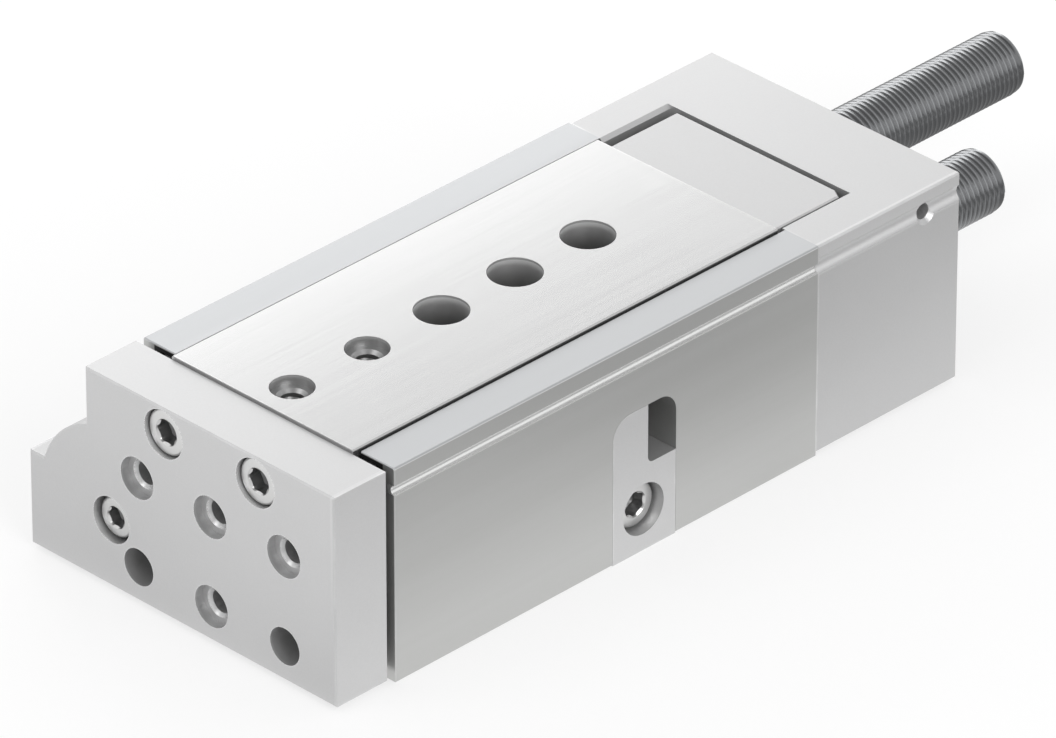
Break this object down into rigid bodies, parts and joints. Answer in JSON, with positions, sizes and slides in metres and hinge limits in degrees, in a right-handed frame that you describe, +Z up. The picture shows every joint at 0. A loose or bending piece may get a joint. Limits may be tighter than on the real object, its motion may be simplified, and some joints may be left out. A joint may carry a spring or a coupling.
{
  "type": "pneumatic mini slide",
  "caption": "Compact air-driven guided slide: grooved housing, table on ball guides, drilled yoke plate, and threaded stop sleeves sticking out of the end cap.",
  "frame": {"origin": "on the mounting face, midway between the two through bolts", "axes": "+Y along the travel to the rear, where the stop sleeves are; the table moves out along -Y; +Z up from the mounting face; +X to the side with the sensor groove"},
  "size_m": [0.0844, 0.236, 0.0484],
  "materials": {
    "anodised_aluminium": "fine-blasted, clear anodised",
    "block_aluminium": "fine-milled, clear anodised",
    "stop_aluminium": "smooth, clear anodised",
    "inner_aluminium": "turned",
    "table_steel": "fine-ground satin",
    "screw_steel": "satin stainless",
    "sleeve_steel": "dark, threaded",
    "hardened_steel": "ground",
    "spring_steel": "phosphated",
    "ball_steel": "polished",
    "rod_chrome": "polished",
    "buffer_elastomer": "matte",
    "seal_rubber": "matte",
    "cage_plastic": "moulded",
    "magnet_black": "bonded magnet"
  },
  "bodies": {
    "housing": {"housing": "anodised_aluminium", "end_cap": "anodised_aluminium", "end_cap_screws": "screw_steel", "guide_rail_left": "hardened_steel", "guide_rail_right": "hardened_steel", "side_stop": "stop_aluminium", "side_stop_screw": "screw_steel", "rod_gland": "inner_aluminium", "rod_seal": "seal_rubber", "gland_o_ring": "seal_rubber", "gland_circlip": "spring_steel", "sleeve_lock_screw": "screw_steel"},
    "table": {"slide_table": "table_steel", "yoke_plate": "anodised_aluminium", "yoke_slide_screws": "screw_steel", "piston_rod_screw": "screw_steel", "piston_rod": "rod_chrome", "piston": "inner_aluminium", "piston_lip_seals": "seal_rubber", "piston_magnet": "magnet_black", "piston_guide_ring": "cage_plastic", "piston_nut": "screw_steel", "front_buffer_ring": "buffer_elastomer", "rear_buffer_ring": "buffer_elastomer", "rear_stop_block": "block_aluminium", "stop_block_screws": "screw_steel", "table_magnet": "magnet_black"},
    "cage_left": {"ball_cage_left": "cage_plastic", "balls_left": "ball_steel"},
    "cage_right": {"ball_cage_right": "cage_plastic", "balls_right": "ball_steel"},
    "retract_travel": {"retract_stop_buffer": "buffer_elastomer"},
    "retract_sleeve": {"retract_stop_sleeve": "sleeve_steel"},
    "extend_travel": {"extend_stop_buffer": "buffer_elastomer"},
    "extend_sleeve": {"extend_stop_sleeve": "sleeve_steel"}
  },
  "joints": [
    {"name": "table_slide", "type": "slide", "parent": "housing", "child": "table", "axis": [0, -1, 0], "range_m": [0, 0.03]},
    {"name": "cage_left_slide", "type": "slide", "parent": "housing", "child": "cage_left", "axis": [0, -1, 0], "range_m": [0, 0.015]},
    {"name": "cage_right_slide", "type": "slide", "parent": "housing", "child": "cage_right", "axis": [0, -1, 0], "range_m": [0, 0.015]},
    {"name": "retract_advance", "type": "slide", "parent": "housing", "child": "retract_travel", "axis": [0, 1, 0], "range_m": [0, 0.00997]},
    {"name": "retract_turn", "type": "hinge", "parent": "retract_travel", "child": "retract_sleeve", "pos_m": [-0.01465, 0.11, 0.0267], "axis": [0, 1, 0], "range_deg": [0, 2700]},
    {"name": "extend_advance", "type": "slide", "parent": "table", "child": "extend_travel", "axis": [0, 1, 0], "range_m": [0, 0.00997]},
    {"name": "extend_turn", "type": "hinge", "parent": "extend_travel", "child": "extend_sleeve", "pos_m": [0.01465, 0.075, 0.0267], "axis": [0, 1, 0], "range_deg": [0, 2700]}
  ],
  "couplings": [
    {"joint": "cage_left_slide", "follows": "table_slide", "ratio": 0.5},
    {"joint": "cage_right_slide", "follows": "table_slide", "ratio": 0.5},
    {"joint": "retract_turn", "follows": "retract_advance", "rad_per_m": 4724.2},
    {"joint": "extend_turn", "follows": "extend_advance", "rad_per_m": 4724.2}
  ]
}
